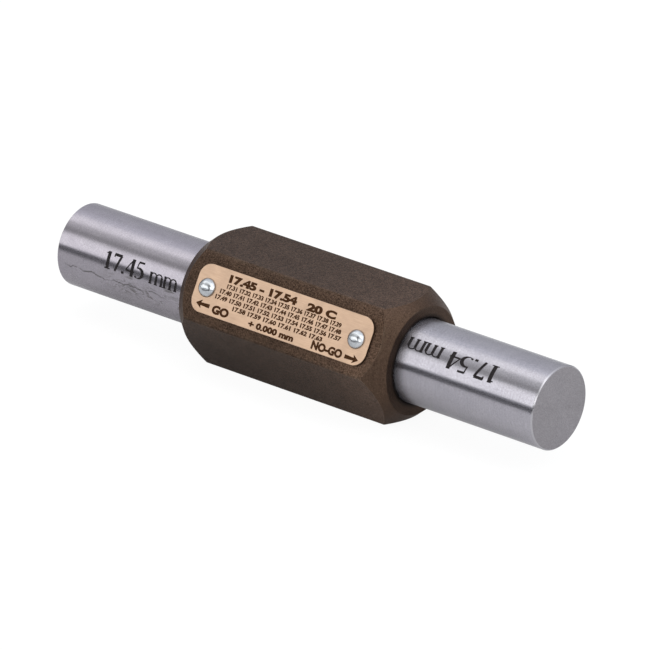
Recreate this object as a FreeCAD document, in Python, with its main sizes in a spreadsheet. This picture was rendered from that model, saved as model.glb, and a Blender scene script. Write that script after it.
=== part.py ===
"""A double-ended go / no-go pin gauge: two ground pins in a hexagonal handle with a riveted name plate.

The pins lie along X, the go pin towards -X, and the origin is on their axis at the handle's middle.
The handle is drawn with the plate's flat facing up, and then leaned about X to lie on another flat.
"""

import FreeCAD, Part
import os
from math import cos, pi, sin

import Sketcher
from FreeCAD import Rotation, Vector

# Millimetres, and degrees for the angles. The formulas below use each size by its name.
SIZES = {
    # hexagonal handle
    "across_flats": 25.4,
    "handle_length": 54.0,
    "long_edge_radius": 0.7,
    "go_end_face_inset": 1.65,
    "no_go_end_face_inset": 1.4,
    "cone_angle": 40.0,
    "plate_lean": 60.0,
    # sockets bored from both ends, and the passage that joins them
    "socket_depth": 16.2,
    "socket_clearance": 0.02,
    "mouth_chamfer": 0.33,
    "passage_diameter": 9.5,
    # gauge pins
    "go_diameter": 17.45,
    "no_go_diameter": 17.54,
    "pin_length": 50.8,
    "pin_edge_break": 0.25,
    # name plate
    "plate_width": 45.0,
    "plate_height": 10.2,
    "plate_thickness": 0.45,
    "plate_corner_radius": 2.8,
    "plate_edge_radius": 0.12,
    "plate_shift": 0.3,
    "plate_drop": 0.15,
    # dome-headed drive screws, and the holes for them in the plate and the handle
    "screw_inset": 3.2,
    "screw_shift": -0.2,
    "head_diameter": 3.95,
    "head_height": 1.5,
    "head_rim": 0.2,
    "shank_diameter": 2.2,
    "shank_clearance": 0.03,
    "pilot_diameter": 1.8,
    "pilot_length": 0.8,
    "hole_overrun": 0.3,
    "metal_under_hole": 1.1,
    # socket set screws that hold the pins, one at the middle of each socket
    "set_screw_diameter": 4.8,
    "set_screw_length": 3.2,
    "set_screw_clearance": 0.03,
    "set_screw_tip_gap": 0.03,
    "set_screw_edge_break": 0.4,
    "cup_diameter": 2.4,
    "cup_depth": 0.5,
    "countersink_diameter": 5.4,
    "key_across_flats": 2.4,
    "key_depth": 1.6,
}

SIDES_OF_HEXAGON = 6
COUNTERSINK_ANGLE = 90
# how a sketch's constraints number an edge's ends and centre, and the sketch's own origin and axes
START_INDEX, END_INDEX, CENTRE_INDEX = 1, 2, 3
ORIGIN_INDEX, LEVEL_AXIS_INDEX, UPRIGHT_AXIS_INDEX = -1, -1, -2

doc = FreeCAD.newDocument("pin_gauge")


def make_sheet():
    """The spreadsheet that holds every driving size as a plain number with an alias."""
    sheet = doc.addObject("Spreadsheet::Sheet", "sizes")
    for row, (alias, value) in enumerate(SIZES.items(), start=1):
        sheet.set(f"A{row}", alias)
        sheet.set(f"B{row}", str(value))
        sheet.setAlias(f"B{row}", alias)
    doc.recompute()


def new_body(label):
    body = doc.addObject("PartDesign::Body", label)
    body.Label = label
    return body


def origin_plane(body, role):
    return next(item for item in body.Origin.OriginFeatures if item.Role == role)


def new_sketch(body, name, role, height=None):
    """A sketch on one of the body's own origin planes, raised along its normal by a formula."""
    sketch = body.newObject("Sketcher::SketchObject", name)
    sketch.AttachmentSupport = [(origin_plane(body, role), "")]
    sketch.MapMode = "FlatFace"
    if height:
        sketch.setExpression("AttachmentOffset.Base.z", height)
    return sketch


def bind_constraint(sketch, constraint, formula):
    index = sketch.addConstraint(constraint)
    sketch.setExpression(f"Constraints[{index}]", formula)


def pin_point(sketch, line, end, across, up):
    """Fix a point at two formulas from the sketch's origin. A formula of "0" puts it on that axis."""
    across_rule = ("DistanceX", UPRIGHT_AXIS_INDEX, across)
    up_rule = ("DistanceY", LEVEL_AXIS_INDEX, up)
    for kind, axis, formula in (across_rule, up_rule):
        if formula == "0":
            sketch.addConstraint(Sketcher.Constraint("PointOnObject", line, end, axis))
        else:
            rough = Sketcher.Constraint(kind, ORIGIN_INDEX, START_INDEX, line, end, 1.0)
            bind_constraint(sketch, rough, formula)


def add_outline(sketch, corners):
    """A closed outline of straight sides, with each corner given as a pair of formulas.

    The sides are first drawn round a ring, and the bound distances pull each corner to its place.
    """
    first = sketch.GeometryCount
    count = len(corners)
    turn = 2 * pi / count
    ring = [Vector(cos(turn * k), sin(turn * k), 0) for k in range(count)]
    for k in range(count):
        sketch.addGeometry(Part.LineSegment(ring[k], ring[(k + 1) % count]), False)
    for k, (across, up) in enumerate(corners):
        before = first + (k - 1) % count
        sketch.addConstraint(Sketcher.Constraint("Coincident", before, END_INDEX, first + k, START_INDEX))
        pin_point(sketch, first + k, START_INDEX, across, up)


def add_hexagon(sketch, across_flats):
    """A regular hexagon about the origin with two level sides, sized across its flats by a formula."""
    turn = 2 * pi / SIDES_OF_HEXAGON
    ring = [Vector(cos(turn * k), sin(turn * k), 0) for k in range(SIDES_OF_HEXAGON)]
    for k in range(SIDES_OF_HEXAGON):
        sketch.addGeometry(Part.LineSegment(ring[k], ring[(k + 1) % SIDES_OF_HEXAGON]), False)
    circle = sketch.addGeometry(Part.Circle(Vector(0, 0, 0), Vector(0, 0, 1), 1.0), True)
    sketch.addConstraint(Sketcher.Constraint("Coincident", circle, CENTRE_INDEX, ORIGIN_INDEX, START_INDEX))
    for k in range(SIDES_OF_HEXAGON):
        after = (k + 1) % SIDES_OF_HEXAGON
        sketch.addConstraint(Sketcher.Constraint("Coincident", k, END_INDEX, after, START_INDEX))
        sketch.addConstraint(Sketcher.Constraint("PointOnObject", k, START_INDEX, circle))
        if k:
            sketch.addConstraint(Sketcher.Constraint("Equal", 0, k))
    sketch.addConstraint(Sketcher.Constraint("PointOnObject", 0, START_INDEX, LEVEL_AXIS_INDEX))
    radius = Sketcher.Constraint("Radius", circle, 1.0)
    bind_constraint(sketch, radius, f"{across_flats} / sqrt(3)")


def add_circle(sketch, diameter, across="0", up="0"):
    circle = sketch.addGeometry(Part.Circle(Vector(0, 0, 0), Vector(0, 0, 1), 1.0), False)
    bind_constraint(sketch, Sketcher.Constraint("Diameter", circle, 1.0), diameter)
    pin_point(sketch, circle, CENTRE_INDEX, across, up)


def add_feature(body, kind, name, sketch, **formulas):
    """A PartDesign feature made from a sketch, with its sizes bound to formulas."""
    feature = body.newObject(f"PartDesign::{kind}", name)
    feature.Profile = sketch
    for prop, formula in formulas.items():
        feature.setExpression(prop, formula)
    return feature


def add_turned(body, kind, name, sketch, axis):
    """A full turn of a sketch about one of its own axes, added as a Revolution or cut as a Groove."""
    feature = add_feature(body, kind, name, sketch)
    feature.ReferenceAxis = (sketch, [axis])
    feature.Angle = 360
    doc.recompute()
    return feature


def check_cut(feature, before):
    """Stop if a cutting feature left the body's volume as it was."""
    doc.recompute()
    if not feature.Shape.Volume < before.Shape.Volume:
        raise ValueError(f"{feature.Name} removed nothing")


def find_edges(shape, wanted):
    """The names of a shape's edges for which a test holds."""
    return [f"Edge{n}" for n, edge in enumerate(shape.Edges, start=1) if wanted(edge)]


def along_x(edge):
    return isinstance(edge.Curve, Part.Line) and abs(edge.tangentAt(edge.FirstParameter).x) > 0.999


def along_z(edge):
    return isinstance(edge.Curve, Part.Line) and abs(edge.tangentAt(edge.FirstParameter).z) > 0.999


def on_top_rim(edge):
    """True for the edges round a plate's top, and not for those of its round holes."""
    return edge.BoundBox.ZMin > 0 and not edge.isClosed()


def lean(body, across="0", height="0"):
    """Lean a body about X with the whole gauge, across along X and at a height out from the pins' axis."""
    body.Placement.Rotation = Rotation(Vector(1, 0, 0), 1)
    body.setExpression("Placement.Rotation.Angle", "sizes.plate_lean")
    body.setExpression("Placement.Base.x", across)
    body.setExpression("Placement.Base.y", f"-({height}) * sin(sizes.plate_lean)")
    body.setExpression("Placement.Base.z", f"({height}) * cos(sizes.plate_lean)")


FLAT = "sizes.across_flats / 2"
HALF_LENGTH = "sizes.handle_length / 2"
SEAT = f"({HALF_LENGTH} - sizes.socket_depth)"
PLATE_TOP = f"({FLAT} + sizes.plate_thickness)"
GO_SOCKET = "(sizes.go_diameter / 2 + sizes.socket_clearance)"
NO_GO_SOCKET = "(sizes.no_go_diameter / 2 + sizes.socket_clearance)"

SHANK_HOLE_DIAMETER = "(sizes.shank_diameter + 2 * sizes.shank_clearance)"
SHANK_HOLE_DEPTH = f"({FLAT} - {NO_GO_SOCKET} - sizes.metal_under_hole)"
SHANK_LENGTH = f"({SHANK_HOLE_DEPTH} - sizes.hole_overrun + sizes.plate_thickness)"

SCREW_MIDDLE = "sizes.plate_shift + sizes.screw_shift"
SCREW_REACH = "(sizes.plate_width / 2 - sizes.screw_inset)"
DRIVE_SCREW_PLACES = [f"{SCREW_MIDDLE} - {SCREW_REACH}", f"{SCREW_MIDDLE} + {SCREW_REACH}"]
SOCKET_MIDDLE = f"({HALF_LENGTH} - sizes.socket_depth / 2)"
SET_SCREW_PLACES = [f"-{SOCKET_MIDDLE}", SOCKET_MIDDLE]


def cone_outline(sketch, side, inset):
    """The triangle that turning away leaves as the end's cone, from its flat face out past the corners."""
    face, rim = f"({FLAT} - {inset})", "sizes.across_flats"
    run = f"({rim} - {face}) / tan(sizes.cone_angle)"
    add_outline(sketch, [
        (f"{side} * {HALF_LENGTH}", face),
        (f"{side} * {HALF_LENGTH}", rim),
        (f"{side} * ({HALF_LENGTH} - {run})", rim),
    ])


def bore_outline(sketch):
    """Half the section of the stepped bore: socket and mouth chamfer at each end, passage between."""
    chamfer, passage = "sizes.mouth_chamfer", "sizes.passage_diameter / 2"
    corners = []
    for side, socket in ((-1, GO_SOCKET), (1, NO_GO_SOCKET)):
        end = [
            (f"{side} * {HALF_LENGTH}", "0"),
            (f"{side} * {HALF_LENGTH}", f"{socket} + {chamfer}"),
            (f"{side} * ({HALF_LENGTH} - {chamfer})", socket),
            (f"{side} * {SEAT}", socket),
            (f"{side} * {SEAT}", passage),
        ]
        corners += end if side < 0 else end[::-1]
    add_outline(sketch, corners)


def drill(body, name, height, centres, upside_down, cut, **formulas):
    """Drill a pair of holes from a flat, each centred on a formula along X, with or without a countersink."""
    before = body.Tip
    sketch = new_sketch(body, f"{name}_centres", "XY_Plane", height)
    if upside_down:
        sketch.AttachmentOffset.Rotation = Rotation(Vector(1, 0, 0), 180)
    for centre in centres:
        add_circle(sketch, formulas["Diameter"], centre)
    doc.recompute()
    hole = body.newObject("PartDesign::Hole", name)
    hole.Profile = sketch
    doc.recompute()
    hole.HoleCutType = cut
    hole.DepthType = "Dimension"
    for prop, formula in formulas.items():
        hole.setExpression(prop, formula)
    check_cut(hole, before)
    return hole


def make_handle():
    """Hexagon bar with softened long edges, coned ends, stepped bore and the holes for four screws."""
    body = new_body("handle")
    section = new_sketch(body, "bar_section", "YZ_Plane")
    add_hexagon(section, "sizes.across_flats")
    bar = add_feature(body, "Pad", "bar", section, Length="sizes.handle_length")
    bar.SideType = "Symmetric"
    doc.recompute()

    softened = body.newObject("PartDesign::Fillet", "softened_edges")
    softened.Base = (bar, find_edges(bar.Shape, along_x))
    softened.setExpression("Radius", "sizes.long_edge_radius")
    doc.recompute()

    for side, end in ((-1, "go"), (1, "no_go")):
        triangle = new_sketch(body, f"{end}_cone_section", "XY_Plane")
        cone_outline(triangle, side, f"sizes.{end}_end_face_inset")
        before = body.Tip
        check_cut(add_turned(body, "Groove", f"{end}_cone", triangle, "H_Axis"), before)

    section = new_sketch(body, "bore_section", "XY_Plane")
    bore_outline(section)
    before = body.Tip
    check_cut(add_turned(body, "Groove", "bore", section, "H_Axis"), before)

    drill(
        body, "drive_screw_holes", FLAT, DRIVE_SCREW_PLACES, False, "None",
        Diameter=SHANK_HOLE_DIAMETER,
        Depth=SHANK_HOLE_DEPTH,
    )
    tapped = drill(
        body, "set_screw_holes", f"-{FLAT}", SET_SCREW_PLACES, True, "Countersink",
        Diameter="sizes.set_screw_diameter + 2 * sizes.set_screw_clearance",
        Depth=FLAT,
        HoleCutDiameter="sizes.countersink_diameter",
    )
    tapped.HoleCutCountersinkAngle = COUNTERSINK_ANGLE
    tapped.DrillPoint = "Flat"
    lean(body)
    return body


def make_pin(label, diameter, side):
    """A plain ground pin with its edges broken, seated on the shoulder at the bottom of its socket."""
    body = new_body(label)
    section = new_sketch(body, f"{label}_section", "XY_Plane")
    radius, edge = f"{diameter} / 2", "sizes.pin_edge_break"
    add_outline(section, [
        ("0", "0"),
        ("0", f"{radius} - {edge}"),
        (edge, radius),
        (f"sizes.pin_length - {edge}", radius),
        ("sizes.pin_length", f"{radius} - {edge}"),
        ("sizes.pin_length", "0"),
    ])
    add_turned(body, "Revolution", f"{label}_turned", section, "H_Axis")
    if side < 0:
        body.Placement.Rotation = Rotation(Vector(0, 0, 1), 180)
    body.setExpression("Placement.Base.x", f"{side} * {SEAT}")
    return body


def make_name_plate():
    """A thin plate with round corners and a softened top edge, pierced for its two drive screws."""
    body = new_body("name_plate")
    outline = new_sketch(body, "plate_outline", "XY_Plane")
    half_width, half_height = "sizes.plate_width / 2", "sizes.plate_height / 2"
    add_outline(outline, [
        (f"sizes.plate_shift - {half_width}", f"-{half_height} - sizes.plate_drop"),
        (f"sizes.plate_shift + {half_width}", f"-{half_height} - sizes.plate_drop"),
        (f"sizes.plate_shift + {half_width}", f"{half_height} - sizes.plate_drop"),
        (f"sizes.plate_shift - {half_width}", f"{half_height} - sizes.plate_drop"),
    ])
    blank = add_feature(body, "Pad", "plate_blank", outline, Length="sizes.plate_thickness")
    doc.recompute()

    corners = body.newObject("PartDesign::Fillet", "plate_corners")
    corners.Base = (blank, find_edges(blank.Shape, along_z))
    corners.setExpression("Radius", "sizes.plate_corner_radius")
    doc.recompute()

    holes = new_sketch(body, "plate_hole_centres", "XY_Plane")
    for centre in DRIVE_SCREW_PLACES:
        add_circle(holes, SHANK_HOLE_DIAMETER, centre)
    pierced = add_feature(body, "Pocket", "plate_holes", holes)
    pierced.Type = "ThroughAll"
    pierced.Reversed = True
    check_cut(pierced, corners)

    softened = body.newObject("PartDesign::Fillet", "plate_top_edge")
    softened.Base = (pierced, find_edges(pierced.Shape, on_top_rim))
    softened.setExpression("Radius", "sizes.plate_edge_radius")
    lean(body, height=FLAT)
    return body


def make_drive_screw(label, across):
    """A hammer-drive screw: a dome on a low rim, a plain shank and a narrower pilot at its end."""
    body = new_body(label)
    section = new_sketch(body, f"{label}_section", "XZ_Plane")
    head, shank, pilot = "sizes.head_diameter / 2", "sizes.shank_diameter / 2", "sizes.pilot_diameter / 2"
    shank_end = f"-({SHANK_LENGTH} - sizes.pilot_length)"
    add_outline(section, [
        ("0", "sizes.head_rim"),
        ("0", f"-{SHANK_LENGTH}"),
        (pilot, f"-{SHANK_LENGTH}"),
        (pilot, shank_end),
        (shank, shank_end),
        (shank, "0"),
        (head, "0"),
        (head, "sizes.head_rim"),
    ])
    add_turned(body, "Revolution", f"{label}_turned", section, "V_Axis")

    dome = new_sketch(body, f"{label}_dome_section", "XZ_Plane")
    add_dome(dome, head, "sizes.head_rim", "sizes.head_height")
    add_turned(body, "Revolution", f"{label}_dome", dome, "V_Axis")
    lean(body, across, PLATE_TOP)
    return body


def add_dome(sketch, radius, foot, crown):
    """Half the section of a dome: one arc from its rim up to its crown, closed along its foot and axis."""
    arc = sketch.addGeometry(Part.Arc(Vector(1, 0, 0), Vector(0.7, 0.5, 0), Vector(0, 0.8, 0)), False)
    axis = sketch.addGeometry(Part.LineSegment(Vector(0, 0.8, 0), Vector(0, 0, 0)), False)
    base = sketch.addGeometry(Part.LineSegment(Vector(0, 0, 0), Vector(1, 0, 0)), False)
    sketch.addConstraint(Sketcher.Constraint("Coincident", arc, END_INDEX, axis, START_INDEX))
    sketch.addConstraint(Sketcher.Constraint("Coincident", axis, END_INDEX, base, START_INDEX))
    sketch.addConstraint(Sketcher.Constraint("Coincident", base, END_INDEX, arc, START_INDEX))
    sketch.addConstraint(Sketcher.Constraint("PointOnObject", arc, CENTRE_INDEX, UPRIGHT_AXIS_INDEX))
    pin_point(sketch, axis, START_INDEX, "0", crown)
    pin_point(sketch, axis, END_INDEX, "0", foot)
    pin_point(sketch, base, END_INDEX, radius, foot)


def make_set_screw(label, across, pin):
    """A headless screw with a hexagon socket, broken edges and a cup at the tip that faces the pin."""
    body = new_body(label)
    section = new_sketch(body, f"{label}_section", "XZ_Plane")
    radius, edge = "sizes.set_screw_diameter / 2", "sizes.set_screw_edge_break"
    add_outline(section, [
        ("0", "-sizes.cup_depth"),
        ("0", "-sizes.set_screw_length"),
        (f"{radius} - {edge}", "-sizes.set_screw_length"),
        (radius, f"-(sizes.set_screw_length - {edge})"),
        (radius, f"-({radius} - sizes.cup_diameter / 2)"),
        ("sizes.cup_diameter / 2", "0"),
    ])
    turned = add_turned(body, "Revolution", f"{label}_turned", section, "V_Axis")

    socket = new_sketch(body, f"{label}_key_section", "XY_Plane", "-sizes.set_screw_length")
    add_hexagon(socket, "sizes.key_across_flats")
    key = add_feature(body, "Pocket", f"{label}_key_socket", socket, Length="sizes.key_depth")
    key.Reversed = True
    check_cut(key, turned)
    lean(body, across, f"-({pin} / 2 + sizes.set_screw_tip_gap)")
    return body


def check_document(bodies):
    """Stop if any object of the document has failed, or a piece is not one valid solid."""
    for item in doc.Objects:
        if "Invalid" in item.State or "Error" in item.State:
            raise ValueError(f"{item.Name} failed: {item.State}")
    for body in bodies:
        shape = body.Shape
        if shape.isNull() or not shape.isValid() or len(shape.Solids) != 1:
            raise ValueError(f"{body.Label} is not one valid solid")


def main():
    make_sheet()
    bodies = [
        make_handle(),
        make_pin("go_pin", "sizes.go_diameter", -1),
        make_pin("no_go_pin", "sizes.no_go_diameter", 1),
        make_name_plate(),
    ]
    for side, across in zip(("go_side", "no_go_side"), DRIVE_SCREW_PLACES):
        bodies.append(make_drive_screw(f"drive_screw_{side}", across))
    pins = ("sizes.go_diameter", "sizes.no_go_diameter")
    for side, across, pin in zip(("go_side", "no_go_side"), SET_SCREW_PLACES, pins):
        bodies.append(make_set_screw(f"set_screw_{side}", across, pin))
    doc.recompute()
    check_document(bodies)
    os.makedirs("parts", exist_ok=True)
    for body in bodies:
        body.Shape.exportStep(f"parts/{body.Label}.step")


main()
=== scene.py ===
"""Dresses the double-ended pin gauge: ground pins, oxidised hexagon handle, brass plate and screws.

Shapes are worked out in millimetres and made metres by add_piece. Materials read metres. The pins lie along
X, the go pin towards -X. The handle is drawn across and out from its plate's flat, and leaned about X as
the gauge lies.
"""

import math

import bmesh
import bpy
import numpy as np
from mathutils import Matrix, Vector


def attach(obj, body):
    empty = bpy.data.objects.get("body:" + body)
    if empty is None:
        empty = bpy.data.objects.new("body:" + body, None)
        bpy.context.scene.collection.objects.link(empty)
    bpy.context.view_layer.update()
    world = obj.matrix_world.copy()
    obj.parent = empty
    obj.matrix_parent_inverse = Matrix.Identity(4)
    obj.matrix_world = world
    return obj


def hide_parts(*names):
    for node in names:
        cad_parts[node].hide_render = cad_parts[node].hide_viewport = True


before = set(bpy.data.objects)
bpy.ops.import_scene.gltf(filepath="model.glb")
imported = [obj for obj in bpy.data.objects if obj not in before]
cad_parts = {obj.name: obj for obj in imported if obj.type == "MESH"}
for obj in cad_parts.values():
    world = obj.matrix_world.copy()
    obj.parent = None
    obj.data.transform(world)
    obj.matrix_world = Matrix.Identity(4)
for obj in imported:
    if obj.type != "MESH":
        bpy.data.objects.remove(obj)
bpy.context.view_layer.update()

MM = 0.001
LEAN = math.radians(60)
ALONG = np.array([1.0, 0.0, 0.0])
ACROSS = np.array([0.0, math.cos(LEAN), math.sin(LEAN)])
OUT = np.array([0.0, -math.sin(LEAN), math.cos(LEAN)])

# pins
GO_RADIUS, NO_GO_RADIUS = 8.725, 8.77
PIN_LENGTH = 50.8
PIN_EDGE = 0.25

# handle
FLAT = 12.7
HALF_LENGTH = 27.0
LONG_EDGE_RADIUS = 0.7
GO_FACE_RADIUS, NO_GO_FACE_RADIUS = 11.05, 11.3
CONE_ANGLE = math.radians(40)
MOUTH_CHAMFER = 0.33
SEAT = HALF_LENGTH - 16.2
PASSAGE_RADIUS = 4.75
SOCKET_CLEARANCE = 0.02
GO_SOCKET, NO_GO_SOCKET = GO_RADIUS + SOCKET_CLEARANCE, NO_GO_RADIUS + SOCKET_CLEARANCE

# plate and screws; a hole is its radius and its depth under the flat
PLATE_TOP = FLAT + 0.45
DRIVE_SCREW_PLACES = (-19.2, 19.4)
HEAD_RADIUS, HEAD_RIM, HEAD_HEIGHT = 1.975, 0.2, 1.5
SHANK_RADIUS, PILOT_RADIUS = 1.1, 0.9
SHANK_LENGTH, PILOT_LENGTH = 2.96, 0.8
SHANK_HOLE = (1.13, 2.81)
SET_SCREW_PLACES = (-18.9, 18.9)
TAPPED_HOLE = (2.43, 3.9)
COUNTERSINK_RADIUS = 2.7

# a marking's skin: how far it stands above its surface, and how far it reaches into it
SKIN_ABOVE, SKIN_BELOW = 0.012, 0.03


# ---------------------------------------------------------------- meshes


def add_piece(name, points, faces, material, sharp=32.0):
    """A mesh object from points in millimetres, with its faces turned outwards and smooth between edges."""
    mesh = bpy.data.meshes.new(name)
    mesh.from_pydata((np.asarray(points, float) * MM).tolist(), [], [list(f) for f in faces])
    work = bmesh.new()
    work.from_mesh(mesh)
    bmesh.ops.recalc_face_normals(work, faces=work.faces)
    work.to_mesh(mesh)
    work.free()
    mesh.polygons.foreach_set("use_smooth", np.ones(len(mesh.polygons), bool))
    mesh.set_sharp_from_angle(angle=math.radians(sharp))
    mesh.materials.append(material)
    piece = bpy.data.objects.new(name, mesh)
    bpy.context.scene.collection.objects.link(piece)
    return piece


def add_attribute(piece, name, values):
    """A number at each point, for the materials to read."""
    layer = piece.data.attributes.new(name, "FLOAT", "POINT")
    layer.data.foreach_set("value", np.asarray(values, np.float32))


def seat(piece, slot, *nodes):
    """Ride the piece on the gauge in place of its CAD nodes. The slot is not used."""
    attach(piece, "root")
    if nodes:
        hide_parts(*nodes)
    return piece


def joined(parts):
    """One array of points and one list of faces from (points, faces) pairs, each counted from 0."""
    points, faces, base = [], [], 0
    for some_points, some_faces in parts:
        points.append(some_points)
        faces += [[base + v for v in face] for face in some_faces]
        base += len(some_points)
    return np.concatenate(points), faces


def leaned(along, across, out):
    """Points from distances along the pins, across the plate's flat and out from it."""
    return (
        np.multiply.outer(np.asarray(along, float), ALONG)
        + np.multiply.outer(np.asarray(across, float), ACROSS)
        + np.multiply.outer(np.asarray(out, float), OUT)
    )


def rounded_path(corners, steps=5):
    """A path through corners given as (first, second, cut), rounded where the cut isn't 0.

    At a corner K the path leaves the side before at K + cut * (unit side back) and meets the next one at
    K + cut * (unit side on), and runs between them as (1-t)^2 A + 2t(1-t) K + t^2 B. Coordinates may be
    arrays, for a path that differs from column to column.
    """
    spots = [np.array(np.broadcast_arrays(a, b), float) for a, b, _ in corners]
    rows = []
    for k, (_, _, cut) in enumerate(corners):
        here = spots[k]
        if not cut:
            rows.append(here)
            continue
        ends = []
        for other in (spots[k - 1], spots[(k + 1) % len(spots)]):
            side = other - here
            ends.append(here + cut * side / np.linalg.norm(side, axis=0))
        for t in np.linspace(0, 1, steps):
            rows.append((1 - t) ** 2 * ends[0] + 2 * t * (1 - t) * here + t ** 2 * ends[1])
    return rows


def turned(profile, steps=256):
    """A surface of revolution about the first axis, closed at both poles.

    Ring k lies at height h_k and radius r_k, and its point j at the angle 2 pi j / steps. The profile's
    first and last points are the poles. Returns (heights, side, up) and the faces.
    """
    heights = np.array([p[0] for p in profile], float)
    radii = np.array([p[1] for p in profile], float)
    angle = 2 * np.pi * np.arange(steps) / steps
    inner = slice(1, len(profile) - 1)
    ring_heights = np.repeat(heights[inner][:, None], steps, 1)
    side = radii[inner][:, None] * np.cos(angle)
    up = radii[inner][:, None] * np.sin(angle)
    h = np.concatenate([[heights[0]], ring_heights.ravel(), [heights[-1]]])
    s = np.concatenate([[0], side.ravel(), [0]])
    u = np.concatenate([[0], up.ravel(), [0]])

    rings = len(profile) - 2
    j = np.arange(steps)
    after = (j + 1) % steps
    here = 1 + np.arange(rings - 1)[:, None] * steps
    on = here + steps
    sides = np.stack(np.broadcast_arrays(here + j, here + after, on + after, on + j), -1).reshape(-1, 4)
    last = 1 + rings * steps
    foot = np.stack([np.zeros(steps, int), 1 + after, 1 + j], -1)
    crown = np.stack([np.full(steps, last), last - steps + j, last - steps + after], -1)
    return (h, s, u), sides.tolist() + foot.tolist() + crown.tolist()


# ---------------------------------------------------------------- nodes of materials and of the world


def colour(value):
    """A grey or a colour triple as the four numbers of a colour socket, and a socket as it is."""
    if isinstance(value, bpy.types.NodeSocket):
        return value
    if isinstance(value, (int, float)):
        value = (value, value, value)
    return (*value, 1.0)


class Nodes:
    """Short calls for the nodes of one tree. Each gives the socket that holds its result."""

    def __init__(self, tree):
        self.tree = tree

    def node(self, kind, **settings):
        """A new node itself, with its settings."""
        made = self.tree.nodes.new(f"ShaderNode{kind}")
        for key, value in settings.items():
            setattr(made, key, value)
        return made

    def feed(self, socket, value):
        """Link a socket to another one, or set it to a plain value."""
        if isinstance(value, bpy.types.NodeSocket):
            self.tree.links.new(value, socket)
        else:
            socket.default_value = value

    def math(self, operation, *values):
        """One arithmetic operation on its values."""
        made = self.node("Math", operation=operation)
        for socket, value in zip(made.inputs, values):
            self.feed(socket, value)
        return made.outputs[0]

    def product(self, first, *others):
        """All the values multiplied together."""
        for other in others:
            first = self.math("MULTIPLY", first, other)
        return first

    def dot(self, vector, direction):
        """How far a vector reaches along a direction: the sum of the products of their parts."""
        made = self.node("VectorMath", operation="DOT_PRODUCT")
        self.feed(made.inputs[0], vector)
        self.feed(made.inputs[1], direction)
        return made.outputs["Value"]

    def split(self, vector):
        """The x, y and z of a vector."""
        made = self.node("SeparateXYZ")
        self.feed(made.inputs[0], vector)
        return made.outputs

    def noise(self, vector, scale, detail=3.0, roughness=0.55, distortion=0.0):
        """A cloudy pattern from 0 to 1, with about scale lumps to a metre."""
        made = self.node("TexNoise")
        self.feed(made.inputs["Vector"], vector)
        made.inputs["Scale"].default_value = scale
        made.inputs["Detail"].default_value = detail
        made.inputs["Roughness"].default_value = roughness
        made.inputs["Distortion"].default_value = distortion
        return made.outputs["Fac"]

    def ramp(self, value, stops):
        """A colour or grey for each value, from (position, grey or colour) stops."""
        made = self.node("ValToRGB")
        self.feed(made.inputs[0], value)
        elements = made.color_ramp.elements
        while len(elements) < len(stops):
            elements.new(1.0)
        for element, (position, shade) in zip(elements, stops):
            element.position = position
            element.color = colour(shade)
        return made.outputs[0]

    def span(self, value, low, high, bottom=0.0, top=1.0):
        """Values from low to high moved to run from bottom to top, and held there outside."""
        made = self.node("MapRange")
        for socket, number in zip(made.inputs, (value, low, high, bottom, top)):
            self.feed(socket, number)
        return made.outputs[0]

    def mix(self, share, first, second, blend="MIX"):
        """The first colour where the share is 0, and the second one where it is 1."""
        made = self.node("Mix", data_type="RGBA", blend_type=blend)
        self.feed(made.inputs[0], share)
        self.feed(made.inputs[6], colour(first))
        self.feed(made.inputs[7], colour(second))
        return made.outputs[2]

    def tinted(self, share, base, tint):
        """The base where the share is 0, and the base times the tint where it is 1."""
        return self.mix(share, base, tint, "MULTIPLY")


class Finish(Nodes):
    """A Principled material whose colour, roughness and bump come from nodes on Object coordinates."""

    def __init__(self, name, **sockets):
        self.material = bpy.data.materials.new(name)
        self.material.use_nodes = True
        super().__init__(self.material.node_tree)
        self.shader = self.tree.nodes["Principled BSDF"]
        for key, value in sockets.items():
            self.shader.inputs[key.replace("_", " ")].default_value = value
        self.place = self.node("TexCoord").outputs["Object"]

    def scaled(self, scale):
        """Object coordinates, each times its own scale."""
        made = self.node("Mapping")
        self.feed(made.inputs["Vector"], self.place)
        made.inputs["Scale"].default_value = scale
        return made.outputs[0]

    def attribute(self, name):
        """A number that add_attribute gave to each point."""
        return self.node("Attribute", attribute_name=name).outputs["Fac"]

    def bump(self, height, strength, distance, normal=None):
        """The normal tilted as if the surface stood out by height times distance."""
        made = self.node("Bump")
        self.feed(made.inputs["Height"], height)
        made.inputs["Strength"].default_value = strength
        made.inputs["Distance"].default_value = distance
        if normal:
            self.feed(made.inputs["Normal"], normal)
        return made.outputs[0]

    def link(self, **sockets):
        """Feed the shader's own sockets."""
        for key, value in sockets.items():
            self.feed(self.shader.inputs[key.replace("_", " ")], value)


# ---------------------------------------------------------------- finishes


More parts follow.
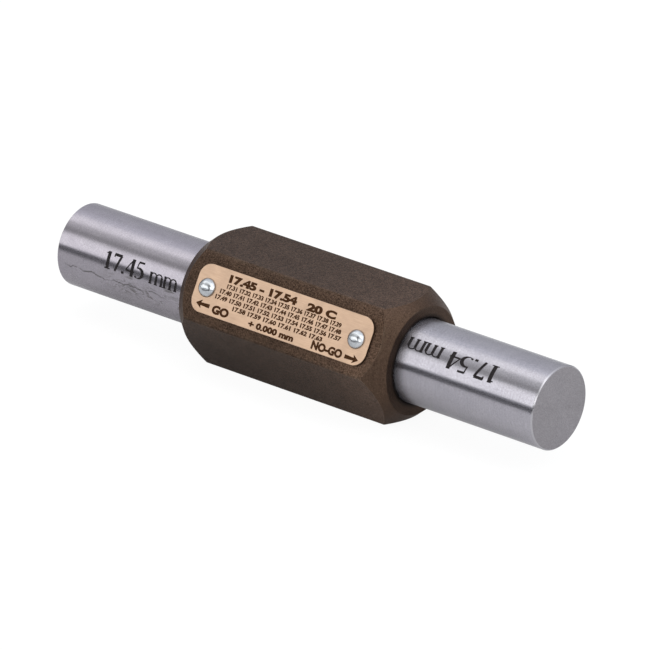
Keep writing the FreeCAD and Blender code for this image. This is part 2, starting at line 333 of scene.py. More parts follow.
def ground_steel(name, roughness, stained=False):
    """Ground gauge steel: fine rings round X, slow waves that unsettle its bands of light, and speckle.

    The attribute broken_edge is 1 on the polished break round each end, end_face is 1 on the flat ends. The
    roughness is a pair, which a broad noise runs between.
    """
    f = Finish(name, Metallic=1.0, Roughness=0.26, Anisotropic=1.0, Anisotropic_Rotation=0.25)
    smooth, rough = roughness
    rings = f.noise(f.scaled((1.0, 0.02, 0.02)), 9000.0, 4.0, 0.7)
    broad = f.noise(f.scaled((0.5, 1.0, 1.0)), 420.0, 3.0)
    waves = f.noise(f.scaled((0.12, 1.0, 1.0)), 900.0, 3.0, 0.6)
    speck = f.noise(f.place, 3300.0, 2.0, 0.6)
    mottle = f.noise(f.place, 4600.0, 2.0, 0.6)
    steel = f.mix(f.span(rings, 0.3, 0.7), (0.316, 0.305, 0.334), (0.366, 0.352, 0.385))
    steel = f.tinted(f.span(broad, 0.35, 0.65), steel, (0.95, 0.95, 0.96))
    steel = f.tinted(1.0, steel, f.span(speck, 0.32, 0.68, 0.90, 1.08))
    end = f.mix(f.span(mottle, 0.32, 0.68), (0.186, 0.176, 0.187), (0.270, 0.256, 0.273))
    steel = f.mix(f.attribute("end_face"), steel, end)
    steel = f.mix(f.attribute("broken_edge"), steel, (0.36, 0.35, 0.37))
    if stained:
        steel = stain(f, f.tinted(1.0, steel, (0.96, 0.93, 0.94)))
    waved = f.bump(waves, 0.35, 0.00002)
    f.link(
        Base_Color=steel,
        Roughness=f.span(broad, 0.2, 0.8, smooth, rough),
        Tangent=f.node("Tangent", direction_type="RADIAL", axis="X").outputs[0],
        Normal=f.bump(f.math("ADD", rings, f.product(speck, 0.6)), 0.10, 0.00002, waved),
    )
    return f.material


def stain(f, steel):
    """Dark dried marks low on the go pin: one wandering line along it, and veins nearer the handle.

    The line is where the turn about X, as a share of a full turn, comes close to a noise of x. The veins are
    the places where another noise comes close to its middle, kept to one strip along the pin.
    """
    x, y, z = f.split(f.place)
    full = 2 * math.pi
    turn = f.math("FRACT", f.math("DIVIDE", f.math("ADD", f.math("ARCTAN2", z, y), full), full))

    wander = f.noise(f.scaled((1.0, 0.0, 0.0)), 150.0, 4.0, 0.65)
    gap = f.math("ABSOLUTE", f.math("SUBTRACT", turn, f.span(wander, 0.25, 0.75, 0.494, 0.534)))
    broken = f.span(f.noise(f.place, 900.0, 3.0), 0.36, 0.56, 0.15, 1.0)
    reach = f.product(f.span(x, -0.0600, -0.0575), f.span(x, -0.036, -0.031, 1.0, 0.0))
    line = f.product(f.span(gap, 0.0012, 0.0042, 1.0, 0.0), broken, reach)

    drift = f.noise(f.scaled((0.45, 1.0, 1.0)), 560.0, 3.0, 0.6, 1.0)
    vein = f.span(f.math("ABSOLUTE", f.math("SUBTRACT", drift, 0.5)), 0.010, 0.050, 1.0, 0.0)
    strip = f.product(
        f.span(turn, 0.445, 0.475), f.span(turn, 0.535, 0.57, 1.0, 0.0), f.span(x, -0.051, -0.043)
    )
    patchy = f.span(f.noise(f.scaled((0.6, 1.0, 1.0)), 330.0, 2.0), 0.40, 0.56)

    steel = f.mix(f.product(vein, strip, patchy, 0.75), steel, (0.12, 0.113, 0.11))
    return f.mix(f.product(line, 0.85), steel, (0.085, 0.08, 0.078))


def oxidised_bar():
    """Blasted and oxidised steel: brown-black with a fine glitter, and turned rings on its ends.

    Its colour holds painted light on the top flat, towards the no-go end and low on the no-go side, painted
    shade low on the go side, and painted shade round the mouths and across the end faces, where the pins
    shade them. The attributes are turned_face, 1 on the cones and end faces, and edge, 1 along the arrises.
    """
    f = Finish("oxidised_bar", Metallic=1.0, Roughness=0.48, Specular_Tint=(0.90, 0.88, 0.88, 1.0))
    x, y, z = f.split(f.place)
    coned = f.attribute("turned_face")
    from_axis = f.math("SQRT", f.math("ADD", f.product(y, y), f.product(z, z)))
    grain = f.noise(f.place, 3900.0, 2.0, 0.6)
    cloud = f.noise(f.place, 240.0, 3.0, 0.6)
    by_radius = f.node("CombineXYZ")
    f.feed(by_radius.inputs[0], from_axis)
    rings = f.noise(by_radius.outputs[0], 5200.0, 3.0, 0.7)

    brown = f.mix(f.span(grain, 0.30, 0.72), (0.013, 0.008, 0.005), (0.102, 0.064, 0.0445))
    brown = f.tinted(f.span(cloud, 0.3, 0.7), brown, (0.86, 0.87, 0.90))
    # painted light: the colour grows lighter towards the top flat, as if more light fell there
    brown = f.tinted(f.span(z, 0.0105, 0.0127), brown, (1.22, 1.24, 1.28))
    turned_brown = f.mix(f.span(rings, 0.3, 0.7), (0.050, 0.031, 0.022), (0.118, 0.076, 0.054))
    brown = f.mix(f.product(coned, 0.42), brown, turned_brown)
    worn = f.product(f.attribute("edge"), f.span(f.noise(f.place, 500.0, 2.0), 0.40, 0.70))
    brown = f.mix(f.product(worn, 0.22), brown, (0.20, 0.15, 0.11))

    # painted shade: darkest in the mouths round the pins and darker across the end faces, by distance from
    # the axis
    painted_mouth_shade = [(0.70, 0.18), (0.735, 0.25), (0.775, 0.74), (0.885, 0.76), (0.905, 1.0)]
    brown = f.tinted(1.0, brown, f.ramp(f.math("DIVIDE", from_axis, FLAT * MM), painted_mouth_shade))
    # painted light: the bar's colour grows lighter towards the no-go end, less so on the cones
    no_go_side = f.product(f.span(x, 0.002, 0.022), f.span(coned, 0.0, 1.0, 1.0, 0.15))
    brown = f.tinted(no_go_side, brown, (1.25, 1.23, 1.22))
    # painted light: lighter still low on the no-go side
    painted_light_low_no_go = f.product(no_go_side, f.span(x, 0.006, 0.020), f.span(z, 0.002, 0.009, 1.0, 0.0))
    brown = f.tinted(painted_light_low_no_go, brown, (1.36, 1.37, 1.38))
    # painted shade: darker low on the go side
    painted_shade_low_go = f.product(f.span(x, -0.022, 0.002, 1.0, 0.0), f.span(z, -0.006, -0.001, 1.0, 0.0))
    brown = f.tinted(painted_shade_low_go, brown, (0.73, 0.73, 0.73))

    height = f.math("ADD", grain, f.product(rings, coned, 0.8))
    f.link(
        Base_Color=brown,
        Roughness=f.span(cloud, 0.2, 0.8, 0.45, 0.52),
        Normal=f.bump(height, 0.7, 0.00010),
    )
    return f.material


def plate_brass():
    """Satin bronze-coloured plate: fine lines along X and a faint mottle, dark on its cut edges, partly
    their own colour and partly painted shadow where the plate sits on the flat.
    """
    f = Finish("plate_brass", Metallic=1.0, Roughness=0.42)
    lines = f.noise(f.scaled((0.06, 1.0, 1.0)), 6000.0, 3.0, 0.6)
    cloud = f.noise(f.place, 420.0, 3.0, 0.6)
    skin = f.mix(f.span(lines, 0.3, 0.7), (0.405, 0.279, 0.195), (0.460, 0.323, 0.230))
    skin = f.tinted(f.span(cloud, 0.35, 0.7), skin, (0.93, 0.93, 0.94))
    out = f.dot(f.place, OUT.tolist())
    # dark side walls: partly the cut edges' own colour, partly painted shadow where the plate meets the flat
    dark_edge_and_painted_shadow = f.span(out, (PLATE_TOP - 0.05) * MM, (PLATE_TOP - 0.015) * MM, 0.85, 0.0)
    skin = f.mix(dark_edge_and_painted_shadow, skin, (0.050, 0.022, 0.010))
    f.link(
        Base_Color=skin,
        Roughness=f.span(cloud, 0.2, 0.8, 0.38, 0.46),
        Normal=f.bump(lines, 0.12, 0.00002),
    )
    return f.material


def plated_screw():
    """Bright plating with a slight unevenness from the hammer."""
    f = Finish("plated_screw", Metallic=1.0, Roughness=0.2)
    dents = f.noise(f.place, 750.0, 2.0, 0.5)
    skin = f.mix(f.span(dents, 0.35, 0.65), (0.365, 0.38, 0.40), (0.485, 0.502, 0.525))
    f.link(
        Base_Color=skin,
        Roughness=f.span(dents, 0.2, 0.8, 0.14, 0.26),
        Normal=f.bump(dents, 0.4, 0.0003),
    )
    return f.material


def black_screw():
    """Black oxide on a socket screw."""
    f = Finish("black_screw", Metallic=1.0, Roughness=0.38)
    grain = f.noise(f.place, 4000.0, 2.0)
    skin = f.mix(f.span(grain, 0.3, 0.7), (0.014, 0.014, 0.016), (0.032, 0.032, 0.034))
    f.link(
        Base_Color=skin,
        Roughness=f.span(grain, 0.2, 0.8, 0.32, 0.45),
        Normal=f.bump(grain, 0.2, 0.00003),
    )
    return f.material


def dark_marking(name, dark, pale):
    """Burnt-in marking: a dull dark skin that is a little uneven."""
    f = Finish(name, Metallic=0.0, Roughness=0.8, Specular_IOR_Level=0.05)
    grain = f.noise(f.place, 5000.0, 2.0)
    skin = f.mix(f.span(grain, 0.35, 0.7), dark, pale)
    f.link(Base_Color=skin, Roughness=f.span(grain, 0.2, 0.8, 0.7, 0.9))
    return f.material


# ---------------------------------------------------------------- handle

# A flat has 25 columns of points across it, and a long edge 7 more, so the flat's middle is its column 12.
FLAT_MIDDLE = 12
SIDE_COLUMNS = 32
FLAT_ROWS = np.linspace(-22.4, 22.4, 65)
PLATE_SIDE, SET_SCREW_SIDE = 0, 3
# the strip beside each long edge, how far wear reaches from an arris, and the margin opened round a hole
EDGE_STRIP = 0.2
WORN_WIDTH = 0.22
HOLE_MARGIN = 0.5


def hexagon_section():
    """Columns round the handle's section: each flat across itself, then the arc of its long edge.

    Flat s has its normal at 90 + 60 s degrees. A long edge is an arc of 60 degrees about a centre on the
    corner's bisector, its radius inside both flats. Returns across, out and each column's edge closeness.
    """
    reach = FLAT / math.sqrt(3) - LONG_EDGE_RADIUS * math.tan(math.radians(30))
    middle = np.linspace(-6.3, 6.3, 21)
    shift = np.concatenate([[-reach, -reach + EDGE_STRIP], middle, [reach - EDGE_STRIP, reach]])
    bends = np.radians(np.linspace(0, 60, 9)[1:-1])
    centre = (FLAT - LONG_EDGE_RADIUS) / math.cos(math.radians(30))
    across, out, edge = [], [], []
    for s in range(6):
        normal = math.radians(90 + 60 * s)
        across.append(FLAT * math.cos(normal) - shift * math.sin(normal))
        out.append(FLAT * math.sin(normal) + shift * math.cos(normal))
        edge.append(np.clip(1 - (reach - np.abs(shift)) / EDGE_STRIP, 0, 1) * 0.6)
        bisector = normal + math.radians(30)
        across.append(centre * math.cos(bisector) + LONG_EDGE_RADIUS * np.cos(normal + bends))
        out.append(centre * math.sin(bisector) + LONG_EDGE_RADIUS * np.sin(normal + bends))
        edge.append(np.full(bends.size, 1.0))
    return np.concatenate(across), np.concatenate(out), np.concatenate(edge)


def arris_at(face, polar):
    """The x at which the cone of radius face + (half length - x) tan 40 degrees has the radius polar."""
    return HALF_LENGTH - (polar - face) / math.tan(CONE_ANGLE)


def end_corners(side, socket, face, polar):
    """Corners from the flat, over one end, to the bottom of its socket, as (x, radius, cut)."""
    near = 0.25
    near_x, near_radius = near * math.cos(CONE_ANGLE), near * math.sin(CONE_ANGLE)
    arris = arris_at(face, polar)
    return [
        (side * (arris - near), polar, 0),
        (side * arris, polar, 0.06),
        (side * (arris + near_x), polar - near_radius, 0),
        (side * (HALF_LENGTH - near_x), face + near_radius, 0),
        (side * HALF_LENGTH, face, 0.07),
        (side * HALF_LENGTH, face - near, 0),
        (side * HALF_LENGTH, socket + MOUTH_CHAMFER, 0.05),
        (side * (HALF_LENGTH - MOUTH_CHAMFER), socket, 0.05),
        (side * (HALF_LENGTH - 1.0), socket, 0),
        (side * SEAT, socket, 0),
        (side * SEAT, PASSAGE_RADIUS, 0),
    ]


def hole_window(side, place, half_columns, rim):
    """First and last rows and columns of the grid's window round a hole, a margin past its rim."""
    first = np.searchsorted(FLAT_ROWS, place - rim - HOLE_MARGIN) - 1
    last = np.searchsorted(FLAT_ROWS, place + rim + HOLE_MARGIN)
    middle = side * SIDE_COLUMNS + FLAT_MIDDLE
    return first, last, middle - half_columns, middle + half_columns


def window_loop(first, last, low, high, columns):
    """Indices of the grid's points round a window, once round."""
    beside, on = np.arange(low, high), np.arange(first, last)
    return np.concatenate([
        first * columns + beside,
        on * columns + high,
        last * columns + beside[::-1] + 1,
        (on[::-1] + 1) * columns + low,
    ])


def hole_surface(place, side, turn, loop, rings, start):
    """Points and faces from a window's loop down a hole whose rings are (radius, depth), closed by a pole.

    A ring's point lies at (radius cos turn, radius sin turn) from the hole's axis, at the turn of the loop's
    point that it belongs to, and at its depth under the flat. New points are counted from start.
    """
    normal = math.radians(90 + 60 * side)
    points, faces, before = [], [], loop
    for radius, depth in rings:
        shift, height = radius * np.sin(turn), FLAT - depth
        points.append(
            leaned(
                place + radius * np.cos(turn),
                height * math.cos(normal) - shift * math.sin(normal),
                height * math.sin(normal) + shift * math.cos(normal),
            )
        )
        after = start + np.arange(loop.size)
        faces += np.stack([before, np.roll(before, -1), np.roll(after, -1), after], -1).tolist()
        before, start = after, start + loop.size
    bottom = FLAT - rings[-1][1]
    points.append(leaned([place], [bottom * math.cos(normal)], [bottom * math.sin(normal)]))
    faces += np.stack([before, np.roll(before, -1), np.full(loop.size, start)], -1).tolist()
    return np.concatenate(points), faces


def handle_wear(along, radius, polar, long_edge):
    """How close each of the grid's points is to an edge, and whether it is on a turned face.

    Closeness falls from 1 at an arris to 0 at the worn width. A turned face is where the cone's radius is
    no more than the point's, or the point lies inside the end face's edge.
    """
    face = np.where(along > 0, NO_GO_FACE_RADIUS, GO_FACE_RADIUS)
    arris = arris_at(face, polar)
    from_end = HALF_LENGTH - np.abs(along)
    outside = radius > face - 0.3
    to_arris = np.abs(np.abs(along) - arris)
    to_face_edge = np.hypot(from_end, radius - face)
    edge = np.where(outside, np.clip(1 - to_arris / WORN_WIDTH, 0, 1), 0)
    edge = np.maximum(edge, np.clip(1 - to_face_edge / WORN_WIDTH, 0, 1))
    on_flats = outside & (np.abs(along) < arris - 0.05)
    edge = np.maximum(edge, np.where(on_flats, long_edge[None, :] * 0.7, 0))
    cone_radius = face + from_end * math.tan(CONE_ANGLE)
    return edge, (cone_radius < radius + 0.05) | (radius < face)


def add_handle(material):
    """The handle as one closed grid, a path round the wall's section for each column round the bar.

    The path runs out along the flat to its arris with the cone, where the cone's radius falls to the
    column's, down the cone, over the end face and back through the stepped bore. The screw holes replace
    rectangles of the flats' cells by rings that shrink to each hole's rim, wall and bottom.
    """
    across, out, long_edge = hexagon_section()
    polar = np.hypot(across, out)
    corners = [(x, polar, 0) for x in FLAT_ROWS]
    corners += end_corners(1, NO_GO_SOCKET, NO_GO_FACE_RADIUS, polar)
    corners += end_corners(-1, GO_SOCKET, GO_FACE_RADIUS, polar)[::-1]
    path = np.array(rounded_path([(x + 0 * polar, r + 0 * polar, cut) for x, r, cut in corners]))
    rows, columns = path.shape[0], polar.size
    along, radius = path[:, 0], path[:, 1]
    grid_across, grid_out = radius * across / polar, radius * out / polar
    points = [leaned(along, grid_across, grid_out).reshape(-1, 3)]

    i, j = np.meshgrid(np.arange(rows), np.arange(columns), indexing="ij")
    on, beside = (i + 1) % rows, (j + 1) % columns
    cells = np.stack([i * columns + j, on * columns + j, on * columns + beside, i * columns + beside], -1)
    kept = np.ones((rows, columns), bool)

    countersink_depth = COUNTERSINK_RADIUS - TAPPED_HOLE[0]
    drive_rings = [(SHANK_HOLE[0], 0), SHANK_HOLE]
    set_rings = [
        (COUNTERSINK_RADIUS + 0.04, 0),
        (COUNTERSINK_RADIUS, 0.02),
        (TAPPED_HOLE[0], countersink_depth),
        TAPPED_HOLE,
    ]
    holes = [(PLATE_SIDE, place, 3, drive_rings) for place in DRIVE_SCREW_PLACES]
    holes += [(SET_SCREW_SIDE, place, 6, set_rings) for place in SET_SCREW_PLACES]
    hole_faces = []
    for side, place, half_columns, rings in holes:
        first, last, low, high = hole_window(side, place, half_columns, rings[0][0])
        kept[first:last, low:high] = False
        loop = window_loop(first, last, low, high, columns)
        normal = math.radians(90 + 60 * side)
        aside = grid_out.ravel()[loop] * math.cos(normal) - grid_across.ravel()[loop] * math.sin(normal)
        turn = np.arctan2(aside, along.ravel()[loop] - place)
        some_points, some_faces = hole_surface(place, side, turn, loop, rings, sum(len(p) for p in points))
        points.append(some_points)
        hole_faces += some_faces

    all_points = np.concatenate(points)
    piece = add_piece("handle_bar", all_points, cells[kept].tolist() + hole_faces, material)
    for name, values in zip(("edge", "turned_face"), handle_wear(along, radius, polar, long_edge)):
        in_holes = np.zeros(len(all_points) - rows * columns)
        add_attribute(piece, name, np.concatenate([values.ravel(), in_holes]))
    return seat(piece, "oxidised_bar", "handle")


# ---------------------------------------------------------------- pins and drive screws


def add_pin(name, node, radius, side, material):
    """A turned pin along X: its profile has flat ends, broken edges with softened corners, and the side.

    End_face marks the flat ends and broken_edge the break round each of them.
    """
    edge, near, softened = PIN_EDGE, 0.8, 0.05
    foot = [
        (0.0, 0.0, 0),
        (0.0, radius - near, 0),
        (0.0, radius - edge, softened),
        (edge, radius, softened),
        (near, radius, 0),
    ]
    crown = [(PIN_LENGTH - h, r, cut) for h, r, cut in reversed(foot)]
    (h, s, u), faces = turned(rounded_path(foot + [(PIN_LENGTH / 2, radius, 0)] + crown))
    piece = add_piece(name, np.stack([side * (SEAT + h), s, u], -1), faces, material)
    from_axis = np.hypot(s, u)
    from_end = np.minimum(h, PIN_LENGTH - h)
    add_attribute(piece, "end_face", (from_end < 1e-6) & (from_axis < radius - edge - 0.04))
    add_attribute(piece, "broken_edge", (from_end < edge + 0.01) & (from_axis > radius - edge - 0.01))
    return seat(piece, "ground_steel", node)


def add_drive_screw(name, node, place, material):
    """A turned hammer-drive screw: a dome of one arc on a low rim, its shank and its pilot.

    The dome's arc has the radius (a^2 + h^2) / 2h for a rim of radius a and a rise h above it.
    """
    rise = HEAD_HEIGHT - HEAD_RIM
    ball = (HEAD_RADIUS ** 2 + rise ** 2) / (2 * rise)
    slope = np.linspace(0, math.asin(HEAD_RADIUS / ball), 24)
    dome = [(HEAD_HEIGHT - ball + ball * math.cos(t), ball * math.sin(t)) for t in slope]
    broken = 0.04
    step = PILOT_LENGTH - SHANK_LENGTH
    below = [
        (broken, HEAD_RADIUS),
        (0.0, HEAD_RADIUS - broken),
        (0.0, SHANK_RADIUS),
        (step, SHANK_RADIUS),
        (step, PILOT_RADIUS),
        (-SHANK_LENGTH, PILOT_RADIUS),
        (-SHANK_LENGTH, 0.0),
    ]
    (h, s, u), faces = turned(dome + below, 96)
    piece = add_piece(name, leaned(place + s, u, PLATE_TOP + h), faces, material)
    return seat(piece, "plated_screw", node)


# ---------------------------------------------------------------- marking on the pins


def stroke(path, width):
    """The two edges of a strip along a path, half its width to each side along the path's normal."""
    path = np.asarray(path, float)
    width = np.broadcast_to(np.asarray(width, float), (len(path),))
    ahead = np.gradient(path, axis=0)
    ahead /= np.linalg.norm(ahead, axis=1)[:, None]
    normal = np.stack([-ahead[:, 1], ahead[:, 0]], -1)
    return path + normal * width[:, None] / 2, path - normal * width[:, None] / 2


def arc(centre, radii, start, stop, steps=14):
    """Points of an ellipse from one angle to another, in degrees."""
    t = np.radians(np.linspace(start, stop, steps))
    return np.stack([centre[0] + radii[0] * np.cos(t), centre[1] + radii[1] * np.sin(t)], -1)


def line(x0, y0, x1, y1, steps=14):
    """Points along a straight line: (1-t) A + t B."""
    t = np.linspace(0, 1, steps)[:, None]
    return (1 - t) * np.array([x0, y0]) + t * np.array([x1, y1])


def marking_glyphs():
    """Roman figures with thick and thin strokes, drawn one unit high: (advance, strokes) for each."""
    thin, thick = 0.065, 0.165
    swell = np.sin(np.linspace(0, np.pi, 18)) * (thick - thin) + thin

    def foot(x, half=0.12):
        return line(x - half, 0.018, x + half, 0.018), thin

    one = [(line(0.27, 0.0, 0.27, 1.0), thick), foot(0.27, 0.15), (line(0.12, 0.87, 0.26, 0.97), 0.07)]
    seven = [
        (line(0.05, 0.93, 0.46, 0.93), thick),
        (line(0.065, 0.78, 0.065, 0.95), thin),
        (line(0.44, 0.93, 0.20, 0.0), 0.115),
    ]
    four = [
        (line(0.37, 1.0, 0.37, 0.0), thick),
        (line(0.36, 0.99, 0.03, 0.29), 0.06),
        (line(0.02, 0.29, 0.49, 0.29), 0.10),
    ]
    five = [
        (line(0.14, 0.94, 0.44, 0.95), 0.12),
        (line(0.15, 0.96, 0.10, 0.56), 0.06),
        (arc((0.19, 0.32), (0.24, 0.29), 115, -80, 18), swell),
        (arc((0.19, 0.32), (0.24, 0.29), -80, -130, 9), 0.055),
        (line(0.03, 0.10, 0.10, 0.07), 0.11),
    ]
    point = [(line(0.055, 0.065, 0.195, 0.065), 0.14)]
    metre = [
        (line(0.10, 0.0, 0.10, 0.66), 0.12),
        (line(0.40, 0.0, 0.40, 0.5), 0.12),
        (line(0.70, 0.0, 0.70, 0.5), 0.12),
        (arc((0.25, 0.46), (0.15, 0.18), 160, 0), 0.07),
        (arc((0.55, 0.46), (0.15, 0.18), 160, 0), 0.07),
        (line(0.02, 0.62, 0.12, 0.655), 0.06),
        foot(0.10, 0.09), foot(0.40, 0.09), foot(0.70, 0.09),
    ]
    return {
        "1": (0.50, one), "7": (0.50, seven), "4": (0.52, four), "5": (0.50, five), ".": (0.25, point),
        "m": (0.78, metre), " ": (0.30, []),
    }


def strip_faces(n):
    """Faces of a closed strip with four rails of n points each."""
    k = np.arange(n - 1)
    faces = []
    for a in range(4):
        b = (a + 1) % 4
        faces += np.stack([a * n + k, b * n + k, b * n + k + 1, a * n + k + 1], -1).tolist()
    return faces + [[a * n for a in range(4)], [a * n + n - 1 for a in range(3, -1, -1)]]


def add_pin_marking(name, text, radius, start, stop, foot, cap, material):
    """Marking wrapped on a pin: a glyph's width runs along X, its height round X.

    A point (a, b) of the text goes to x = start + a (stop - start) / length and to the angle
    foot + b (cap - foot), in degrees, a skin's height above the pin. Each stroke is a closed strip.
    """
    glyphs = marking_glyphs()
    pitch = (stop - start) / sum(glyphs[character][0] for character in text)
    parts, advance = [], 0.0
    for character in text:
        width, strokes = glyphs[character]
        for path, thickness in strokes:
            left, right = stroke(path, thickness)
            rails = []
            for edge, r in ((left, radius + SKIN_ABOVE), (right, radius + SKIN_ABOVE),
                            (right, radius - SKIN_BELOW), (left, radius - SKIN_BELOW)):
                angle = np.radians(foot + edge[:, 1] * (cap - foot))
                x = start + (advance + edge[:, 0]) * pitch
                rails.append(np.stack([x, r * np.cos(angle), r * np.sin(angle)], -1))
            parts.append((np.concatenate(rails), strip_faces(len(left))))
        advance += width
    return seat(add_piece(name, *joined(parts), material, 20.0), "ground_steel")


# ---------------------------------------------------------------- lettering on the plate

# text, left and right end, middle, height of a figure, thickening, steps of a curve
PLATE_ROWS = [
    ("17.45 - 17.54", -14.6, 2.9, 3.17, 1.75, 0.065, 4),
    ("20 C", 5.6, 13.1, 3.0, 1.7, 0.065, 4),
    ("17.31 17.32 17.33 17.34 17.35 17.36 17.37 17.38 17.39", -14.6, 15.0, 1.54, 1.04, 0.055, 2),
    ("17.40 17.41 17.42 17.43 17.44 17.45 17.46 17.47 17.48", -15.9, 15.4, 0.27, 1.04, 0.055, 2),
    ("17.49 17.50 17.51 17.52 17.53 17.54 17.55 17.56 17.57", -16.6, 15.9, -1.04, 1.04, 0.055, 2),
    ("17.58 17.59 17.60 17.61 17.62 17.63", -11.6, 11.6, -2.33, 1.04, 0.055, 2),
    ("GO", -16.4, -12.1, -3.7, 1.85, 0.06, 4),
    ("+ 0.000 mm", -6.8, 4.9, -4.05, 1.45, 0.06, 2),
    ("NO-GO", 9.5, 17.3, -3.85, 1.8, 0.06, 4),
]
# tip, the way back from it, middle
PLATE_ARROWS = [(-20.7, 1, -3.45), (21.5, -1, -3.95)]


def text_outline(text, bold, steps):
    """The built-in font's letters as a thin closed mesh: points, faces, in units of the font's size."""
    curve = bpy.data.curves.new("letters", "FONT")
    curve.body = text
    curve.offset = bold
    curve.extrude = 0.5
    curve.resolution_u = steps
    letters = bpy.data.objects.new("letters", curve)
    bpy.context.scene.collection.objects.link(letters)
    bpy.context.view_layer.update()
    mesh = bpy.data.meshes.new_from_object(letters.evaluated_get(bpy.context.evaluated_depsgraph_get()))
    work = bmesh.new()
    work.from_mesh(mesh)
    bmesh.ops.remove_doubles(work, verts=work.verts, dist=0.0002)
    bmesh.ops.dissolve_degenerate(work, edges=work.edges, dist=0.0002)
    work.verts.index_update()
    points = np.array([v.co[:] for v in work.verts])
    faces = [[v.index for v in f.verts] for f in work.faces]
    work.free()
    bpy.data.objects.remove(letters)
    bpy.data.meshes.remove(mesh)
    bpy.data.curves.remove(curve)
    return points, faces


def plate_row(text, left, right, middle, tall, bold, steps):
    """A row of text stretched to its ends and its height, on the plate's face.

    A row with a plus takes its height from a plain figure, because small letters fill the rest of it.
    """
    points, faces = text_outline(text, bold, steps)
    figure = text_outline("0", bold, steps)[0] if "+" in text else points
    foot, cap = figure[:, 1].min(), figure[:, 1].max()
    low, high = points.min(0), points.max(0)
    along = left + (points[:, 0] - low[0]) * (right - left) / (high[0] - low[0])
    across = middle + (points[:, 1] - (foot + cap) / 2) * tall / (cap - foot)
    share = (points[:, 2] - low[2]) / (high[2] - low[2])
    return leaned(along, across, PLATE_TOP - SKIN_BELOW + share * (SKIN_BELOW + SKIN_ABOVE)), faces


def plate_arrow(tip, way, middle):
    """A barbed arrow on the plate's face, 3.5 mm long: two copies of its outline, joined round it."""
    shape = np.array([
        (0, 0), (1.5, 0.92), (1.25, 0.3), (3.5, 0.42), (3.5, -0.42), (1.25, -0.3), (1.5, -0.92),
    ])
    n = len(shape)
    along = np.tile(tip + way * shape[:, 0], 2)
    across = np.tile(middle + shape[:, 1], 2)
    height = np.repeat([PLATE_TOP - SKIN_BELOW, PLATE_TOP + SKIN_ABOVE], n)
    sides = [[k, (k + 1) % n, n + (k + 1) % n, n + k] for k in range(n)]
    foot = [[0, 1, 2], [0, 2, 5], [0, 5, 6], [2, 3, 4, 5]]
    return leaned(along, across, height), sides + foot + [[n + v for v in face] for face in foot]


def add_plate_lettering(material):
    """Rows of plain numbers, GO and NO-GO and their arrows, as thin dark letters on the plate's face."""
    parts = [plate_row(*row) for row in PLATE_ROWS] + [plate_arrow(*arrow) for arrow in PLATE_ARROWS]
    return seat(add_piece("plate_lettering", *joined(parts), material, 20.0), "plate_brass")


# ---------------------------------------------------------------- studio

# the camera's angle round from the front, its angle up, its distance in metres and its lens
CAMERA_ROUND, CAMERA_UP = math.radians(39.4), math.radians(24.92)
CAMERA_AWAY, CAMERA_LENS, CAMERA_SENSOR = 1.8, 496.84, 36.0
# the point that it looks at, in millimetres to the right of the gauge's middle and up from it
AIM_RIGHT, AIM_UP = 1.57, -0.124
# level directions along the two front panels and out between them, and the brightest band's strength
ALONG_PANELS, BETWEEN_PANELS = (0.773, 0.635, 0.0), (0.635, -0.773, 0.0)
BRIGHTEST = 2.4


def add_floor():
    """A broad pale table just under the gauge that renders white and keeps a soft shadow.

    Its front edge is 160 mm before the gauge, and what lies beyond is the dark gap under the front panel.
    It glows by itself for rays from the camera, and less for those that metal or glass sends on. For
    those rays its colour is a painted shade, darker towards the go end.
    """
    level, front, far = -FLAT - 0.02, -160.0, 3000.0
    points = [(-far, front, level), (far, front, level), (far, far, level), (-far, far, level)]
    f = Finish("pale_floor", Roughness=1.0, Specular_IOR_Level=0.0)
    f.shader.inputs["Emission Color"].default_value = (1.0, 1.0, 1.0, 1.0)
    rays = f.node("LightPath").outputs
    seen = rays["Is Camera Ray"]
    mirrored = f.math("MAXIMUM", rays["Is Glossy Ray"], rays["Is Transmission Ray"])
    x, _, _ = f.split(f.place)
    # painted shade: for reflected rays the floor's colour is darker towards the go end
    pale = f.span(x, -0.06, 0.05, 0.5, 0.64)
    glow = f.math("ADD", f.span(seen, 0, 1, 0.03, 0.93), f.span(mirrored, 0, 1, 0.0, 0.22))
    f.link(Base_Color=f.mix(seen, pale, 0.08), Emission_Strength=glow)
    floor = add_piece("floor", points, [[0, 1, 2, 3]], f.material)


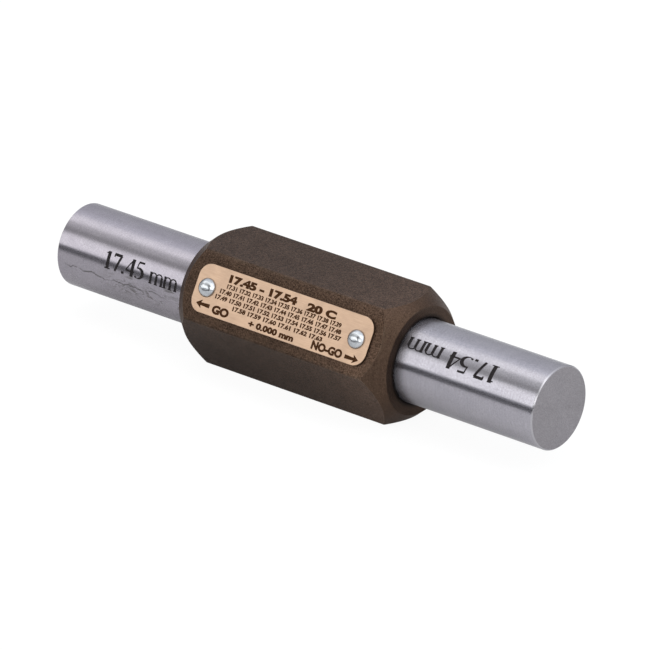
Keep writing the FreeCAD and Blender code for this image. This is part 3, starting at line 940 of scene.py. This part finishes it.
def add_studio():
    """The room as soft bands of light round X, by the angle of a direction from +Y up through +Z.

    Behind is a pale wall, above a bright panel, and in front are two main panels with a dark gap under
    them and another between them. The no-go end's side of the room is brighter, and the far end on the go
    side darker. The camera sees white.
    """
    world = bpy.data.worlds.new("studio")
    bpy.context.scene.world = world
    world.use_nodes = True
    world.node_tree.nodes.clear()
    w = Nodes(world.node_tree)
    direction = w.node("TexCoord").outputs["Generated"]
    x, y, z = w.split(direction)

    cool, plain = (0.96, 0.985, 1.04), (0.99, 1.0, 1.0)
    bands = [
        (-180, 0.18, cool), (-173, 0.22, cool), (-168, 0.9, cool), (-20, 0.92, cool), (-5, 0.72, cool),
        (10, 0.70, cool), (35, 0.97, cool), (60, 1.13, cool), (67, 1.5, cool), (76, 1.48, cool),
        (82, 2.2, plain), (98, 2.1, plain), (105, 1.15, plain), (116, 1.08, plain), (122, 0.70, plain),
        (130, 0.80, plain), (136, 1.85, plain), (143, 2.25, plain), (167, 2.35, plain),
        (170.5, 0.75, cool), (173, 0.22, cool), (180, 0.18, cool),
    ]
    stops = [((a + 180) / 360, tuple(level / BRIGHTEST * c for c in tint)) for a, level, tint in bands]
    light = w.ramp(w.span(w.math("ARCTAN2", z, y), -math.pi, math.pi), stops)

    aside = w.math("ABSOLUTE", w.dot(direction, ALONG_PANELS))
    ahead = w.dot(direction, BETWEEN_PANELS)
    panels = w.math("MAXIMUM", w.span(aside, 0.08, 0.30, 0.08, 1.0), w.span(ahead, 0.3, 0.6, 1.0, 0.0))
    no_go_side = w.span(x, 0.2, 0.75, BRIGHTEST, 1.5 * BRIGHTEST)
    go_side = w.span(x, -0.92, -0.68, 0.45, 1.0)

    room, white = w.node("Background"), w.node("Background")
    w.feed(room.inputs["Color"], light)
    w.feed(room.inputs["Strength"], w.product(no_go_side, go_side, panels))
    w.feed(white.inputs["Color"], (1.0, 1.0, 1.0, 1.0))
    either = w.node("MixShader")
    w.feed(either.inputs[0], w.node("LightPath").outputs["Is Camera Ray"])
    w.feed(either.inputs[1], room.outputs[0])
    w.feed(either.inputs[2], white.outputs[0])
    w.feed(w.node("OutputWorld").inputs["Surface"], either.outputs[0])


def add_camera():
    """A long lens far away, aimed close to the middle of the gauge.

    Back, from the aim to the camera, is (sin round cos up, -cos round cos up, sin up).
    """
    level = math.cos(CAMERA_UP)
    back = Vector((math.sin(CAMERA_ROUND) * level, -math.cos(CAMERA_ROUND) * level, math.sin(CAMERA_UP)))
    right = Vector((math.cos(CAMERA_ROUND), math.sin(CAMERA_ROUND), 0.0))
    up = back.cross(right)
    lens = bpy.data.cameras.new("camera")
    lens.sensor_width, lens.lens = CAMERA_SENSOR, CAMERA_LENS
    lens.clip_start, lens.clip_end = 0.1, 20.0
    camera = bpy.data.objects.new("camera", lens)
    bpy.context.scene.collection.objects.link(camera)
    camera.location = AIM_RIGHT * MM * right + AIM_UP * MM * up + CAMERA_AWAY * back
    camera.rotation_mode = "QUATERNION"
    camera.rotation_quaternion = back.to_track_quat("Z", "Y")
    bpy.context.scene.camera = camera


# ---------------------------------------------------------------- the gauge


def show_cad_nodes():
    """The plate and the set screws are shown as CAD made them, with their finishes."""
    black = black_screw()
    finishes = {"name_plate": plate_brass(), "set_screw_go_side": black, "set_screw_no_go_side": black}
    for node, material in finishes.items():
        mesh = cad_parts[node].data
        mesh.materials.clear()
        mesh.materials.append(material)


def dress_gauge():
    """Every piece of the gauge that is drawn here, and its markings."""
    add_handle(oxidised_bar())
    go_steel = ground_steel("ground_steel_go", (0.24, 0.30), stained=True)
    no_go_steel = ground_steel("ground_steel_no_go", (0.22, 0.28))
    add_pin("go_pin_ground", "go_pin", GO_RADIUS, -1, go_steel)
    add_pin("no_go_pin_ground", "no_go_pin", NO_GO_RADIUS, 1, no_go_steel)
    plated = plated_screw()
    for side, place in zip(("go_side", "no_go_side"), DRIVE_SCREW_PLACES):
        add_drive_screw(f"drive_screw_head_{side}", f"drive_screw_{side}", place, plated)
    ink = dark_marking("pin_marking", (0.012, 0.010, 0.011), (0.03, 0.027, 0.028))
    add_pin_marking("go_marking", "17.45 mm", GO_RADIUS, -49.5, -29.8, 170.6, 146.8, ink)
    add_pin_marking("no_go_marking", "17.54 mm", NO_GO_RADIUS, 51.2, 28.1, 123.3, 147.8, ink)
    add_plate_lettering(dark_marking("plate_print", (0.034, 0.0135, 0.0045), (0.060, 0.026, 0.011)))


bpy.context.scene.view_settings.view_transform = "Standard"
show_cad_nodes()
dress_gauge()
add_floor()
add_studio()
add_camera()
